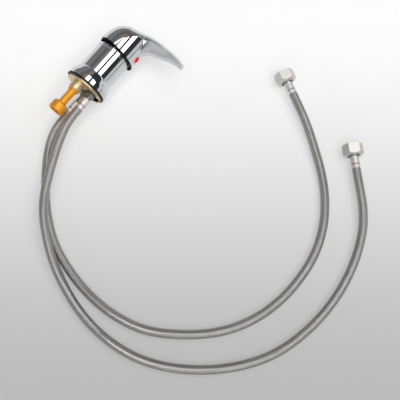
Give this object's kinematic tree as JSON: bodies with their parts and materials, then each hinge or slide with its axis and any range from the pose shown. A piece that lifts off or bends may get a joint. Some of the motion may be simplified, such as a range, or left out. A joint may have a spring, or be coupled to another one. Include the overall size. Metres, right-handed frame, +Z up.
{
  "type": "salon basin mixer",
  "caption": "Single-lever shampoo basin mixer: flared chrome body, hooked lever, ceramic cartridge, brass hand-spray outlet and braided inlet hoses with union nuts.",
  "frame": {"origin": "centre of the machined base face that sits on the basin", "axes": "+X along the mixer's axis, away from the base; -Y where the lever points; +Z up from the table that the mixer lies on"},
  "size_m": [0.4368, 0.4581, 0.059],
  "materials": {
    "chrome": "polished",
    "nickel": "satin nickel plate",
    "raw_brass": "turned",
    "brass": "turned",
    "steel": "plain",
    "braid": "woven wire",
    "black_rubber": "matt",
    "black_plastic": "satin",
    "white_plastic": "moulded",
    "ceramic": "ground ceramic",
    "red_plastic": "moulded",
    "blue_plastic": "moulded"
  },
  "bodies": {
    "mixer_body": {"body_casting": "chrome", "base_seal": "black_rubber", "cartridge_foot": "white_plastic", "cartridge_port_seals": "black_rubber", "cartridge_housing": "white_plastic", "fixed_disc": "ceramic", "retaining_nut": "brass", "cover_ring": "chrome", "outlet_tailpiece": "raw_brass", "outlet_seal": "black_rubber", "upper_inlet_tail": "nickel", "upper_inlet_seal": "black_rubber", "upper_mixer_ferrule": "nickel", "upper_hose": "braid", "upper_union_ferrule": "nickel", "upper_union_tail": "raw_brass", "upper_union_washer": "black_rubber", "lower_inlet_tail": "nickel", "lower_inlet_seal": "black_rubber", "lower_mixer_ferrule": "nickel", "lower_hose": "braid", "lower_union_ferrule": "nickel", "lower_union_tail": "raw_brass", "lower_union_washer": "black_rubber"},
    "turret": {"spindle_guide": "white_plastic", "pivot_pin": "steel"},
    "lever": {"spindle": "brass", "handle": "chrome", "handle_ring": "black_plastic", "grub_screw": "steel", "index_hot": "red_plastic", "index_cold": "blue_plastic"},
    "mixing_disc": {"moving_disc": "ceramic", "disc_carrier": "white_plastic"},
    "upper_nut": {"upper_union_nut": "nickel"},
    "lower_nut": {"lower_union_nut": "nickel"}
  },
  "joints": [
    {"name": "temperature_swivel", "type": "hinge", "parent": "mixer_body", "child": "turret", "pos_m": [0, 0, 0], "axis": [1, 0, 0], "range_deg": [-8.5, 91.5]},
    {"name": "lever_lift", "type": "hinge", "parent": "turret", "child": "lever", "pos_m": [0.051, 0, 0], "axis": [0, 0, 1], "range_deg": [0, 22]},
    {"name": "disc_slide", "type": "slide", "parent": "turret", "child": "mixing_disc", "axis": [0, -1, 0], "range_m": [0, 0.0034]},
    {"name": "upper_nut_spin", "type": "hinge", "parent": "mixer_body", "child": "upper_nut", "pos_m": [0.1564, -0.3255, -0.0175], "axis": [0.6997, 0.7145, 0], "continuous": true},
    {"name": "lower_nut_spin", "type": "hinge", "parent": "mixer_body", "child": "lower_nut", "pos_m": [0.1836, -0.1943, -0.0175], "axis": [0.4802, 0.8771, 0], "continuous": true}
  ],
  "couplings": [
    {"joint": "disc_slide", "follows": "lever_lift", "m_per_rad": 0.0085}
  ]
}
